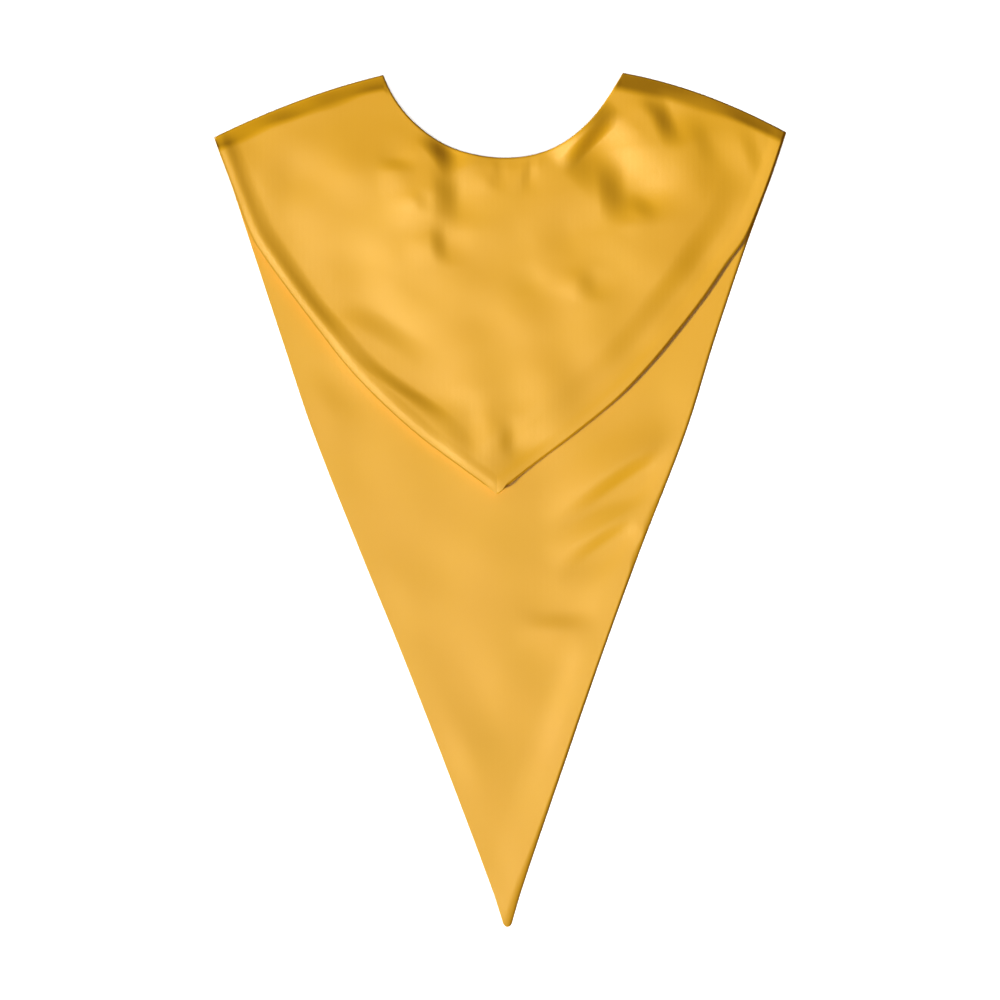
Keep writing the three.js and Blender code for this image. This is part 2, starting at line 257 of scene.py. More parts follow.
# The long panel is fuller along its right hem, its folds lower its upper face by LOWEST at most, and its
# right edge turns down to EDGE above the surface. Its lower face lifts by a share of a fold's height.
LONG_FULL_IN = Zone(-14.0, 54.0)
LOWEST = 0.6
EDGE = 0.5
UNDER_SHARE = 0.35

# Soft irregular waves: the seed of their chance, how many sines, and their shortest and longest lengths. The
# long panel's have only a share of the short one's height.
Waves = namedtuple("Waves", "seed count shortest longest")

LONG_WAVES = Waves(11, 26, 60.0, 170.0)
LONG_WAVES_SHARE = 0.7
SHORT_WAVES = Waves(5, 30, 45.0, 130.0)
SLOPE_WAVES = Waves(3, 12, 30.0, 75.0)

# The rim. Its profile is taken at these turns, in degrees from level. A round below PRESSED is a pressed
# fold. The seam lies near the middle of the rim, but at a shoulder it lies on the side of the other panel, and
# the round on that side is hidden.
RIM_TURNS = (68.0, 46.0, 26.0, 9.0, 0.0, -9.0, -30.0, -60.0)
PRESSED = 0.1
SEAM_MIDDLE = 0.42
SEAM_AT_LONG_SHOULDER = 0.94
SEAM_AT_SHORT_SHOULDER = 0.06
HIDDEN_ROUND = 0.2

# How far inside the rim a grid makes room for the rim's rounds, and the least that a bend's normal is
# divided by.
ROOM_REACH = 40.0
SHARPEST_BEND = 0.5


def from_rows(rows, column, y):
    """A table's column as a smooth function of y.

    Between two rows it is the cubic that passes through both, and whose slope at a row is that of the line
    between the row's two neighbours.
    """
    table = np.array(rows)[::-1]
    at = table[:, 0]
    value = table[:, rows[0]._fields.index(column)]
    last = len(at) - 1
    low, high = np.maximum(np.arange(last + 1) - 1, 0), np.minimum(np.arange(last + 1) + 1, last)
    slope = (value[high] - value[low]) / (at[high] - at[low])
    i = np.clip(np.searchsorted(at, y, side="right") - 1, 0, last - 1)
    span = at[i + 1] - at[i]
    t = (y - at[i]) / span
    return (
        (2 * t**3 - 3 * t**2 + 1) * value[i]
        + (t**3 - 2 * t**2 + t) * span * slope[i]
        + (3 * t**2 - 2 * t**3) * value[i + 1]
        + (t**3 - t**2) * span * slope[i + 1]
    )


def bezier(p0, p1, p2, p3, t):
    """The cubic with end points p0 and p3 and handles p1 and p2, at t from 0 to 1."""
    t = t[:, None]
    return (1 - t) ** 3 * p0 + 3 * (1 - t) ** 2 * t * p1 + 3 * (1 - t) * t**2 * p2 + t**3 * p3


def top_edge(grid, drop):
    """A panel's top edge as points from the left shoulder tip to the right one.

    A shoulder is the chord from its tip to the neck point, plus a parabola as high as its bow. Each side of
    the neck is a cubic down to the base, which drop lowers.
    """
    base = NECK_BASE - np.array([0.0, drop])
    share = (np.arange(grid.shoulder) / grid.shoulder) ** grid.tip_crowd
    side = np.linspace(0.0, 1.0, grid.neck + 1)

    def shoulder(tip, neck_point, bow):
        rise = np.stack([np.zeros_like(share), 4 * bow * share * (1 - share)], axis=1)
        return tip + (neck_point - tip) * share[:, None] + rise

    def neck(neck_point, steep, level):
        handle = neck_point + steep - np.array([0.0, drop / 2])
        return bezier(neck_point, handle, base + np.array([level, 0.0]), base, side)

    left = neck(NECK_POINT_LEFT, NECK_STEEP_LEFT, -NECK_LEVEL)
    right = neck(NECK_POINT_RIGHT, NECK_STEEP_RIGHT, NECK_LEVEL)
    return np.concatenate(
        [
            shoulder(SHOULDER_TIP_LEFT, NECK_POINT_LEFT, SHOULDER_BOW_LEFT),
            left[:-1],
            right[::-1],
            shoulder(SHOULDER_TIP_RIGHT, NECK_POINT_RIGHT, SHOULDER_BOW_RIGHT)[::-1],
        ]
    )


def lay_grid(grid, top, hems):
    """A panel's flat grid as x and y, one row of the arrays for each row of the grid.

    A column keeps its share of the way between the two hems, and a row its share of the way from the top
    edge to the point. The last row bulges down to the point as 1 - |s|^blunt, where s runs from -1 to 1
    across it.
    """
    share = (np.linspace(0.0, 1.0, grid.rows + 1) ** grid.row_crowd)[:, None]
    across = ((top[:, 0] - top[0, 0]) / (top[-1, 0] - top[0, 0]))[None, :]
    end_y = hems[-1].y
    left = from_rows(hems, "left", top[0, 1] + (end_y - top[0, 1]) * share)
    right = from_rows(hems, "right", top[-1, 1] + (end_y - top[-1, 1]) * share)
    end = end_y + (grid.point - end_y) * (1 - np.abs(2 * across - 1) ** grid.blunt)
    return left + (right - left) * across, top[None, :, 1] + (end - top[None, :, 1]) * share


def distance(line, x, y):
    """The distance from each place x, y to a line of points, that is, to the nearest of its segments."""
    spot = np.stack([x.ravel(), y.ravel()], axis=1)
    nearest = np.full(len(spot), np.inf)
    for start, step in zip(line[:-1], np.diff(line, axis=0)):
        away = spot - start
        share = np.clip(away @ step / (step @ step), 0.0, 1.0)
        nearest = np.minimum(nearest, np.hypot(*(away - share[:, None] * step).T))
    return nearest.reshape(x.shape)


def bump(r):
    """1 at r = 0, falling smoothly to 0 at r = 1 and -1 and beyond, as (1 - r^2)^2."""
    return np.clip(1 - r * r, 0.0, None) ** 2


def ramp(d, reach):
    """0 at d = 0, rising smoothly to 1 at d = reach and beyond, as 3t^2 - 2t^3."""
    t = np.clip(d / reach, 0.0, 1.0)
    return t * t * (3 - 2 * t)


def into(zone, place):
    """How far a place is into a zone, as a ramp from 0 at its start to 1 at its end."""
    return ramp(place - zone.start, zone.length)


def near(spot, place):
    """How near a place is to a spot, as a bump that is 1 in its middle."""
    return bump((place - spot.middle) / spot.reach)


def folded(folds, x, y):
    """The height of a list of folds.

    Across a fold, u, positive downhill, the height is -drop times a step S(u / face) / 2 + 1/2 - up, times a
    bump of u / reach; S(t) is 1.5t - 0.5t^3, and 1 or -1 beyond. Along the fold it is a bump of its length.
    """
    height = np.zeros_like(x)
    for f in folds:
        way = math.radians(f.angle)
        along = ((x - f.x) * math.cos(way) + (y - f.y) * math.sin(way)) / f.length
        across = (x - f.x) * math.sin(way) - (y - f.y) * math.cos(way) + f.bend * along**2
        t = np.clip(across / f.face, -1.0, 1.0)
        step = 0.75 * t - 0.25 * t**3 + 0.5 - f.up
        height -= f.drop * step * bump(across / f.reach) * bump(along)
    return height


def waves(x, y, kind):
    """Soft irregular waves, mostly between -1 and 1: the sum of sines with random ways, lengths and starts over
    the square root of their number."""
    chance = np.random.default_rng(kind.seed)
    way = chance.uniform(0, math.tau, kind.count)
    turn = math.tau / chance.uniform(kind.shortest, kind.longest, kind.count)
    start = chance.uniform(0, math.tau, kind.count)
    height = np.zeros_like(x)
    for w, k, s in zip(way, turn, start):
        height += np.sin(k * (x * math.cos(w) + y * math.sin(w)) + s)
    return height / math.sqrt(kind.count)


def outline_of(x, y):
    """The rim of a grid, clockwise from the left shoulder tip: its row and column numbers."""
    rows, columns = x.shape
    top = [np.zeros(columns - 1, int), np.arange(columns - 1)]
    right = [np.arange(rows - 1), np.full(rows - 1, columns - 1)]
    end = [np.full(columns - 1, rows - 1), np.arange(columns - 1, 0, -1)]
    left = [np.arange(rows - 1, 0, -1), np.zeros(rows - 1, int)]
    return tuple(np.concatenate(part) for part in zip(top, right, end, left))


def normals_of(line):
    """The normals of an open line of points, to its left. At a bend the normal is the sum of those of its two
    parts over 1 plus their product, so that a line moved along it keeps both parts parallel."""
    on = np.diff(line, axis=0)
    on /= np.linalg.norm(on, axis=1)[:, None]
    part = np.stack([-on[:, 1], on[:, 0]], axis=1)
    before, after = part[:-1], part[1:]
    inner = (before + after) / np.maximum(1 + (before * after).sum(axis=1), SHARPEST_BEND)[:, None]
    return np.concatenate([part[:1], inner, part[-1:]])


def drawn_in(x, y, inset):
    """The grid with each side moved in by inset along its normals, and the inside moved to suit.

    A point's move is the sum of those of the four sides' points in its row and column, each times a share
    that falls evenly to 0 at ROOM_REACH from that side, or at half the panel's width where that is less.
    """
    size = np.zeros(x.shape)
    size[outline_of(x, y)] = inset
    line = np.stack([x, y], axis=-1)
    top = (normals_of(line[0]) * size[0][:, None])[None]
    right = (normals_of(line[:, -1]) * size[:, -1][:, None])[:, None]
    end = (normals_of(line[-1, ::-1])[::-1] * size[-1][:, None])[None]
    left = (normals_of(line[::-1, 0])[::-1] * size[:, 0][:, None])[:, None]
    half = np.minimum(ROOM_REACH, 0.5 * (x[:, -1:] - x[:, :1]))

    def share(away, reach):
        return np.clip(1 - away / reach, 0.0, 1.0)[..., None]

    move = top * share(y[:1] - y, ROOM_REACH) + end * share(y - y[-1:], ROOM_REACH)
    move = move + left * share(x - x[:, :1], half) + right * share(x[:, -1:] - x, half)
    return x - move[..., 0], y - move[..., 1]


def panel_shell(name, x, y, upper_face, lower_face, seam_level, upper_round, lower_round, seam_dent):
    """One panel as a closed shell: an upper face, a lower face and a turned rim between them.

    The rim's profile is a quarter ellipse from the upper face out to the seam, a dent at the seam, and a
    quarter ellipse back to the lower face. seam_level is the seam's share of the wall's height, and the two
    rounds are how far the ellipses reach in. They and seam_dent have one value for each point of the rim. The
    upper edge of a pressed fold is shaded sharp.
    """
    rim = outline_of(x, y)
    upper_x, upper_y = drawn_in(x, y, upper_round)
    lower_x, lower_y = drawn_in(x, y, lower_round)
    upper_z = upper_face(upper_x, upper_y)
    lower_z = lower_face(lower_x, lower_y)
    high, low = upper_z[rim], lower_z[rim]
    seam = low + (high - low) * seam_level

    rings = []
    for turn in RIM_TURNS:
        sine, cosine = math.sin(math.radians(turn)), math.cos(math.radians(turn))
        reach = np.where(turn > 0, upper_round, lower_round)
        ring_x, ring_y = drawn_in(x, y, reach * (1 - cosine) + (seam_dent if turn == 0.0 else 0.0))
        level = seam + sine * ((high - seam) if turn > 0 else (seam - low))
        rings.append(np.column_stack([ring_x[rim], ring_y[rim], level]))

    rows, columns = x.shape
    size = rows * columns
    points = np.concatenate(
        [
            np.stack([upper_x, upper_y, upper_z], axis=-1).reshape(-1, 3),
            np.stack([lower_x, lower_y, lower_z], axis=-1).reshape(-1, 3),
            *rings,
        ]
    )
    number = np.arange(size).reshape(rows, columns)
    a, b = number[:-1, :-1].ravel(), number[:-1, 1:].ravel()
    c, d = number[1:, 1:].ravel(), number[1:, :-1].ravel()
    faces = [np.stack([a, d, c, b], axis=1), np.stack([a, b, c, d], axis=1) + size]
    edge = number[rim]
    bands = [edge] + [2 * size + k * len(edge) + np.arange(len(edge)) for k in range(len(rings))] + [edge + size]
    for above, below in zip(bands[:-1], bands[1:]):
        faces.append(np.stack([above, np.roll(above, -1), np.roll(below, -1), below], axis=1))
    piece = new_mesh(name, points * MM, np.concatenate(faces))
    crisp = np.zeros(len(points), bool)
    crisp[edge[upper_round < PRESSED]] = True
    ends = np.empty(2 * len(piece.data.edges), np.int32)
    piece.data.edges.foreach_get("vertices", ends)
    piece.data.edges.foreach_set("use_edge_sharp", crisp[ends].reshape(-1, 2).all(axis=1))
    return piece


def new_mesh(name, points, quads):
    """A smooth-shaded mesh object from its points and quads, with a UV map of its x and y in metres."""
    mesh = bpy.data.meshes.new(name)
    mesh.vertices.add(len(points))
    mesh.vertices.foreach_set("co", points.astype(np.float32).ravel())
    mesh.loops.add(quads.size)
    mesh.loops.foreach_set("vertex_index", quads.astype(np.int32).ravel())
    mesh.polygons.add(len(quads))
    mesh.polygons.foreach_set("loop_start", np.arange(0, quads.size, 4, dtype=np.int32))
    mesh.update(calc_edges=True)
    mesh.polygons.foreach_set("use_smooth", np.ones(len(quads), bool))
    grain = mesh.uv_layers.new(name="grain")
    grain.data.foreach_set("uv", points[quads.ravel(), :2].astype(np.float32).ravel())
    if mesh.validate():
        raise RuntimeError(f"{name}: the mesh had faults")
    piece = bpy.data.objects.new(name, mesh)
    bpy.context.scene.collection.objects.link(piece)
    return piece


# Materials.

# Sizes of the satin's patterns, in millimetres. The slubs are wide and long along the warp, the patches are
# where the dye took a little deeper, and the ribs stand for the warp's threads.
SLUB_WIDTH = 1.1111
SLUB_LENGTH = 16.667
PATCH = 71.43
RIB_SPACING = 5.655

# At scale 1 the bands of a Wave texture are this far apart.
BAND_SPACING = math.tau / 20

# How far the slubs make the gloss tighter or wider.
GLOSS_VARIES = 0.025

# The numbers of a Mix node's colour inputs and output, which share their names with its other ones.
MIX_DEEP, MIX_LIGHT, MIX_RESULT = 6, 7, 2


def from_hex(code):
    """An sRGB colour such as "E9B040" as linear red, green, blue and an alpha of 1."""
    values = np.array([int(code[i : i + 2], 16) / 255 for i in (0, 2, 4)])
    linear = np.where(values <= 0.04045, values / 12.92, ((values + 0.055) / 1.055) ** 2.4)
    return (*linear.tolist(), 1.0)


def add_node(tree, kind, links=(), sockets=None, **settings):
    """Adds a node. Settings are its properties, sockets the values of its inputs by name or number, and links
    pairs of another node's output and the name of the input that it goes to."""
    node = tree.nodes.new(kind)
    for key, value in settings.items():
        setattr(node, key, value)
    for socket, value in (sockets or {}).items():
        node.inputs[socket].default_value = value
    for output, socket in links:
        tree.links.new(output, node.inputs[socket])
    return node


def gold_satin(finish):
    """Polyester satin, warp-faced, piece-dyed gold and pressed.

    Its long warp floats give the eye a soft, wide gloss that pales the flats and drops off into deep gold
    where the cloth turns away, with faint streaks along the warp. The real threads are about 0.1 mm apart,
    too fine to show, so the warp is drawn as slubs 1.1 mm wide and as very shallow ribs 5.7 mm apart.
    """
    material = bpy.data.materials.new("gold_polyester_satin")
    material.use_nodes = True
    tree = material.node_tree
    tree.nodes.clear()
    grain = add_node(tree, "ShaderNodeUVMap", uv_map="grain").outputs["UV"]

    streaks = add_node(
        tree,
        "ShaderNodeMapping",
        links=[(grain, "Vector")],
        sockets={"Scale": (1 / (SLUB_WIDTH * MM), 1 / (SLUB_LENGTH * MM), 1.0)},
    )
    slub = add_node(
        tree,
        "ShaderNodeTexNoise",
        links=[(streaks.outputs["Vector"], "Vector")],
        sockets={"Scale": 1.0, "Detail": 3.0, "Roughness": 0.6},
    )
    cloudy = add_node(
        tree,
        "ShaderNodeTexNoise",
        links=[(grain, "Vector")],
        sockets={"Scale": 1 / (PATCH * MM), "Detail": 2.0, "Roughness": 0.45},
    )
    to_bands = BAND_SPACING / (RIB_SPACING * MM)
    spacing = add_node(
        tree,
        "ShaderNodeMapping",
        links=[(grain, "Vector")],
        sockets={"Scale": (to_bands, to_bands, 1.0)},
    )
    warp = add_node(
        tree,
        "ShaderNodeTexWave",
        bands_direction="X",
        links=[(spacing.outputs["Vector"], "Vector")],
        sockets={"Scale": 1.0, "Distortion": 0.4, "Detail": 1.0, "Detail Scale": 2.0},
    )

    shade = add_node(
        tree,
        "ShaderNodeMix",
        data_type="RGBA",
        links=[(cloudy.outputs["Fac"], "Factor")],
        sockets={MIX_DEEP: from_hex(finish.deep), MIX_LIGHT: from_hex(finish.light)},
    )

    thread = add_node(
        tree,
        "ShaderNodeBump",
        links=[(warp.outputs["Fac"], "Height")],
        sockets={"Strength": 0.04, "Distance": 0.0002},
    )
    relief = add_node(
        tree,
        "ShaderNodeBump",
        links=[(slub.outputs["Fac"], "Height"), (thread.outputs["Normal"], "Normal")],
        sockets={"Strength": 0.045, "Distance": 0.0004},
    )
    gloss = add_node(
        tree,
        "ShaderNodeMapRange",
        links=[(slub.outputs["Fac"], "Value")],
        sockets={"To Min": finish.roughness - GLOSS_VARIES, "To Max": finish.roughness + GLOSS_VARIES},
    )
    cloth = add_node(
        tree,
        "ShaderNodeBsdfPrincipled",
        links=[
            (shade.outputs[MIX_RESULT], "Base Color"),
            (gloss.outputs["Result"], "Roughness"),
            (relief.outputs["Normal"], "Normal"),
        ],
        sockets={"IOR": 1.7, "Specular IOR Level": finish.specular},
    )
    add_node(tree, "ShaderNodeOutputMaterial", links=[(cloth.outputs["BSDF"], "Surface")])
    return material


def studio_paper(stage):
    """Matt white background paper, which gives the eye an even white with soft contact shadows."""
    material = bpy.data.materials.new("matt_white_background_paper")
    material.use_nodes = True
    paper = material.node_tree.nodes["Principled BSDF"]
    paper.inputs["Base Color"].default_value = from_hex(stage.paper)
    paper.inputs["Roughness"].default_value = 1.0
    paper.inputs["Specular IOR Level"].default_value = 0.0
    return material


# The panels' heights.


def cut_out(grid, hems, neck_drop):
    """A panel's flat grid as x and y, and the lines that its heights are measured from."""
    top = top_edge(grid, neck_drop)
    x, y = lay_grid(grid, top, hems)
    sides = {
        "left hem": np.stack([x[:, 0], y[:, 0]], axis=1),
        "right hem": np.stack([x[:, -1], y[:, -1]], axis=1),
        "left shoulder": top[: grid.shoulder + 1],
        "right shoulder": top[-grid.shoulder - 1 :],
        "neck": top[grid.shoulder : len(top) - grid.shoulder],
    }
    return x, y, sides


def hem_groove(d, inset, face, back):
    """The groove inside a hem, from 0 to 1: down over the face, whose middle is at inset, and back up."""
    return ramp(d - inset + 0.5 * face, face) * (1 - ramp(d - inset - 0.5 * face, back))


def turned_down(s):
    """A turned-down edge's height: a quarter circle, 0 and upright at s = 0, 1 and level from s = 1."""
    t = np.clip(s, 0.0, 1.0)
    return np.sqrt(t * (2 - t))


def shelf(s):
    """An even rise from an edge up to 1, with its top rounded off between 0.8 and 1.2."""
    return np.minimum(s, 1.2) - np.clip(s - 0.8, 0.0, 0.4) ** 2 / 0.8


def settled(height, softness):
    """A height that can't go below 0: it comes down onto it softly."""
    return 0.5 * (height + np.hypot(height, softness) - softness)


def long_upper(cut, drape, sides):
    """The long panel's upper face: the wall, the seam allowance, the folds and the soft waves.

    Folds and waves run out towards the hems. It is fuller along its right hem, whose edge turns down.
    """

    def face(x, y):
        right = distance(sides["right hem"], x, y)
        hem = np.minimum(distance(sides["left hem"], x, y), right)
        lift = folded(LONG_FOLDS, x, y) + LONG_WAVES_SHARE * drape.waves * waves(x, y, LONG_WAVES)
        lift = lift * (LONG_HEM_SHARE + (1 - LONG_HEM_SHARE) * into(LONG_FOLDS_IN, hem))
        level = cut.wall - LOWEST + settled(LOWEST + cut.allowance + lift, softness=0.3)
        level = level + drape.hem_long * (1 - into(LONG_FULL_IN, right))
        return EDGE + (level - EDGE) * turned_down(right / from_rows(LONG_TURN, "width", y))

    return face


def long_lower(x, y):
    """The long panel's lower face: flat on the surface, and a third as high as the upper one at a fold."""
    return UNDER_SHARE * settled(folded(LONG_FOLDS, x, y), softness=0.1)


def roll_height(drape, x, y):
    """The height that the short panel stands off at, before its hems, groove and folds.

    It passes from the left roll's height to the right one's, with the right one lower at its outer end and
    the left one at the neck, and comes down from both to the loose middle.
    """
    roll = drape.roll_left + (drape.roll_right - drape.roll_left) * into(ROLLS_ACROSS, x)
    roll = roll - drape.roll_fall * into(RIGHT_END_ACROSS, x)
    roll = roll - drape.neck_fall * near(NECK_FALL_ACROSS, x) * into(NECK_FALL_ALONG, y)
    return drape.puff + (roll - drape.puff) * into(ROLLS_ALONG, y)


def slopes(drape, sides, x, y):
    """The short panel's rise from its shoulder seams, from 0 to 1 and a little over.

    It is even on the right and ever steeper on the left, over widths that change along the shoulders and
    vary softly.
    """
    uneven = 1 + drape.uneven * waves(x, y, SLOPE_WAVES)
    left = LEFT_WIDTH_AT_TIP + LEFT_WIDER * into(LEFT_WIDER_ACROSS, x)
    left = drape.shelf_left * (left - LEFT_NARROWER * into(LEFT_NARROWER_ACROSS, x)) * uneven
    right = drape.shelf_right * (RIGHT_WIDTH_AT_NECK - RIGHT_NARROWER * into(RIGHT_NARROWER_ACROSS, x))
    right = right * (1 - RIGHT_UNEVEN_SHARE + RIGHT_UNEVEN_SHARE * uneven)
    rise = shelf(distance(sides["left shoulder"], x, y) / left) ** LEFT_STEEPENING
    return np.minimum(rise, shelf(distance(sides["right shoulder"], x, y) / right))


def short_lower(cut, drape, sides, below):
    """The short panel's lower face: the long panel's upper one, a gap, and the height it stands off at.

    It rises from both shoulder seams to a roll and comes down from there to its loose middle. It lies lower
    along both hems, its right hem turns down sharply, and inside its left hem it has a groove.
    """

    def face(x, y):
        hem_left = distance(sides["left hem"], x, y)
        hem_right = distance(sides["right hem"], x, y)
        neck = distance(sides["neck"], x, y)
        stand = roll_height(drape, x, y)

        inset = from_rows(LEFT_GROOVE, "inset", y)
        depth = from_rows(LEFT_GROOVE, "depth", y)
        back = GROOVE_BACK + GROOVE_BACK_MORE * into(GROOVE_BACK_ALONG, y)
        stand = stand - drape.groove * depth * hem_groove(hem_left, inset, GROOVE_FACE, back)

        below_shoulders = into(BELOW_SHOULDERS_ALONG, y)
        sink = drape.hem_sink * (1 + RIGHT_SINK_MORE * into(RIGHT_SINK_MORE_ALONG, y))
        sink = sink * into(ABOVE_POINT_ALONG, y) * (1 - into(RIGHT_SINK_IN, hem_right))
        stand = stand - (sink + drape.left_sink * (1 - into(LEFT_SINK_IN, hem_left))) * below_shoulders
        stand = stand - drape.hem_fall * (1 - into(LEFT_FALL_IN, hem_left)) * into(LEFT_FALL_ALONG, y)
        stand = stand - drape.neck_dip * (1 - into(NECK_DIP_IN, neck)) * near(NECK_DIP_ACROSS, x)

        creases = folded(SHORT_FOLDS, x, y) + drape.waves * waves(x, y, SHORT_WAVES)
        stand = stand + creases * into(SHORT_FOLDS_IN, np.minimum(hem_left, hem_right))
        turned = drape.turned + (1 - drape.turned) * shelf(hem_right / drape.turn)
        return below(x, y) + cut.gap + settled(stand, softness=0.4) * slopes(drape, sides, x, y) * turned

    return face


def short_upper(cut, sides, lower):
    """The short panel's upper face: its lower one, the wall, the seam allowance inside its hems, and a pressed
    line beside its left hem."""

    def face(x, y):
        left = distance(sides["left hem"], x, y)
        hem = np.minimum(left, distance(sides["right hem"], x, y))
        pressed = cut.pressed * into(PRESSED_DOWN_IN, left) * (1 - into(PRESSED_BACK_IN, left))
        return lower(x, y) + cut.wall + cut.allowance * (1 - into(ALLOWANCE_IN, hem)) - pressed

    return face


# Settings.


class StoleCut(bpy.types.PropertyGroup):
    """Sizes of the cut and of the sewing, in millimetres."""

    wall: FloatProperty(name="Wall", description="Two plies, pressed, in millimetres", default=1.5, min=0.5, max=3.0)
    allowance: FloatProperty(
        name="Allowance", description="Seam allowances inside a hem, in millimetres", default=0.35, min=0.0, max=2.0
    )
    pressed: FloatProperty(name="Pressed", description="Depth of the pressed line inside the left hem", default=0.14)
    gap: FloatProperty(name="Gap", description="Between the two panels, in millimetres", default=0.3, min=0.1, max=2.0)
    rim_left: FloatProperty(name="Left rim", description="Roundness of the left hems", default=0.05, min=0.02)
    rim_right: FloatProperty(name="Right rim", description="Roundness of the short panel's right hem", default=0.3)
    rim_long: FloatProperty(name="Long rim", description="Roundness of the long panel's right hem", default=0.4)
    rim_neck: FloatProperty(name="Neck rim", description="Roundness of the neck edge", default=2.0, min=0.2)
    under: FloatProperty(
        name="Under", description="Roundness of a hem's under side, in millimetres", default=0.7, min=0.1, max=2.0
    )
    fold: FloatProperty(
        name="Shoulder", description="Roundness of the shoulder seam, in millimetres", default=1.6, min=0.5, max=5.0
    )
    dent: FloatProperty(name="Seam", description="Depth of the seam, in millimetres", default=0.2, min=0.0, max=0.6)
    neck_drop: FloatProperty(
        name="Hidden neck", description="How much lower the long panel's neck is cut, in millimetres", default=4.0
    )


class StoleDrape(bpy.types.PropertyGroup):
    """How the cloth lies, in millimetres."""

    puff: FloatProperty(name="Loft", description="Height of the short panel's loose middle", default=4.4, min=0.0)
    roll_left: FloatProperty(name="Left roll", description="Height of the left shoulder's roll", default=9.1)
    roll_right: FloatProperty(name="Right roll", description="Height of the right shoulder's roll", default=6.8)
    roll_fall: FloatProperty(name="Roll end", description="Fall of the right roll to its outer end", default=3.3)
    neck_fall: FloatProperty(name="Roll at neck", description="Fall of the left roll to the neck", default=2.2)
    shelf_left: FloatProperty(name="Left slope", description="Width of the left shoulder's slope", default=14.0)
    shelf_right: FloatProperty(name="Right slope", description="Width of the right shoulder's slope", default=15.0)
    groove: FloatProperty(name="Groove", description="Depth of the left groove, as a share of its table", default=0.88)
    hem_fall: FloatProperty(name="Left hem", description="How far the left hem falls to its edge", default=0.45)
    left_sink: FloatProperty(name="Left side", description="How much lower the cloth lies on the left", default=0.4)
    hem_sink: FloatProperty(name="Right side", description="How much lower the cloth lies on the right", default=1.3)
    uneven: FloatProperty(name="Uneven", description="Unevenness of the shoulders' slopes, as a share", default=0.15)
    hem_long: FloatProperty(name="Long hem", description="Fullness of the long panel's right hem", default=0.9)
    neck_dip: FloatProperty(name="Neck", description="How far the neck's base turns down", default=0.3)
    turn: FloatProperty(name="Turn", description="Width over which the right hem turns down", default=1.9)
    turned: FloatProperty(name="Turned", description="Share of its height that the right hem keeps", default=0.15)
    waves: FloatProperty(name="Waves", description="Height of the soft irregular waves", default=0.3)


class StoleFinish(bpy.types.PropertyGroup):
    """Colours and gloss of the satin."""

    deep: StringProperty(name="Deep gold", description="sRGB hex colour of the deeper dye", default="E2A308")
    light: StringProperty(name="Light gold", description="sRGB hex colour of the lighter dye", default="E8AC0E")
    roughness: FloatProperty(name="Roughness", description="Spread of the gloss", default=0.35, min=0.0, max=1.0)
    specular: FloatProperty(name="Gloss", description="Strength of the gloss", default=1.0, min=0.0, max=1.0)


class StoleStage(bpy.types.PropertyGroup):
    """The surface, the lights and the camera."""

    paper: StringProperty(name="Paper", description="sRGB hex colour of the surface", default="F8F8F8")
    key: FloatProperty(name="Key", description="Strength of the low light on the cloth", default=7.25)
    ground: FloatProperty(name="Ground", description="Power of the light on the paper", default=190.0, unit="POWER")
    top: FloatProperty(name="Top", description="Strength of the broad light overhead", default=0.40)
    bank: FloatProperty(name="Bank", description="Power of the soft light on the right", default=1.6, unit="POWER")
    around: StringProperty(name="Around", description="sRGB hex colour of the surroundings", default="FFC468")
    world: FloatProperty(name="World", description="Strength of the surroundings", default=0.09)
    lens: FloatProperty(name="Lens", description="Focal length of the camera in millimetres", default=135.0)
    view: FloatProperty(
        name="View", description="Width of the view on the surface", default=0.93, unit="LENGTH", subtype="DISTANCE"
    )


# Operators.

# A light stands at an azimuth (degrees from +X) and an elevation, away metres from the middle of the garment.
# Its spread is a sun's angle in degrees or an area light's side in metres. power names its setting, and lit
# the collection that it is kept to, if any.
Lamp = namedtuple("Lamp", "name kind azimuth elevation away spread colour power lit")

COOL_WHITE = (0.96, 1.0, 0.98)
WHITE = (1.0, 1.0, 1.0)
WARM_WHITE = (1.0, 0.92, 0.62)

LAMPS = [
    Lamp("low key", "SUN", 211.0, 22.0, 2.6, 9.0, COOL_WHITE, "key", "lit_cloth"),
    Lamp("ground", "AREA", 205.0, 86.0, 3.0, 3.0, WHITE, "ground", "lit_paper"),
    Lamp("overhead", "SUN", 212.0, 72.0, 2.4, 18.0, WARM_WHITE, "top", None),
    Lamp("bank", "AREA", 320.0, 84.0, 2.4, 0.8, WARM_WHITE, "bank", None),
]

# The paper's reach from the middle and the far end of the camera's view in metres, and the width of its
# sensor in millimetres.
PAPER_REACH = 6.0
FAR_END = 50.0
SENSOR = 36.0


def rim_sizes(x, columns, left, right, shoulder, neck):
    """One value for each place on the rim, for its left hem, right hem, shoulder seams and neck. A place takes a
    quarter of each neighbour's, which softens the change at a corner. The point's left half goes with the left
    hem."""
    row, column = outline_of(x, x)
    last = x.shape[1] - 1
    size = np.where(column <= last // 2, left, right)
    at_top = row == 0
    size = np.where(at_top, neck, size)
    size = np.where(at_top & ((column < columns) | (column > last - columns)), shoulder, size)
    return (np.roll(size, 1) + 2 * size + np.roll(size, -1)) / 4


def lit_group(name):
    """A collection that a light can be kept to. The cloth and the paper are lit apart, as in a studio."""
    return bpy.data.collections.get(name) or bpy.data.collections.new(name)


def satin_of(context):
    """The one satin that both panels are cut from."""
    return bpy.data.materials.get("gold_polyester_satin") or gold_satin(context.scene.stole_finish)


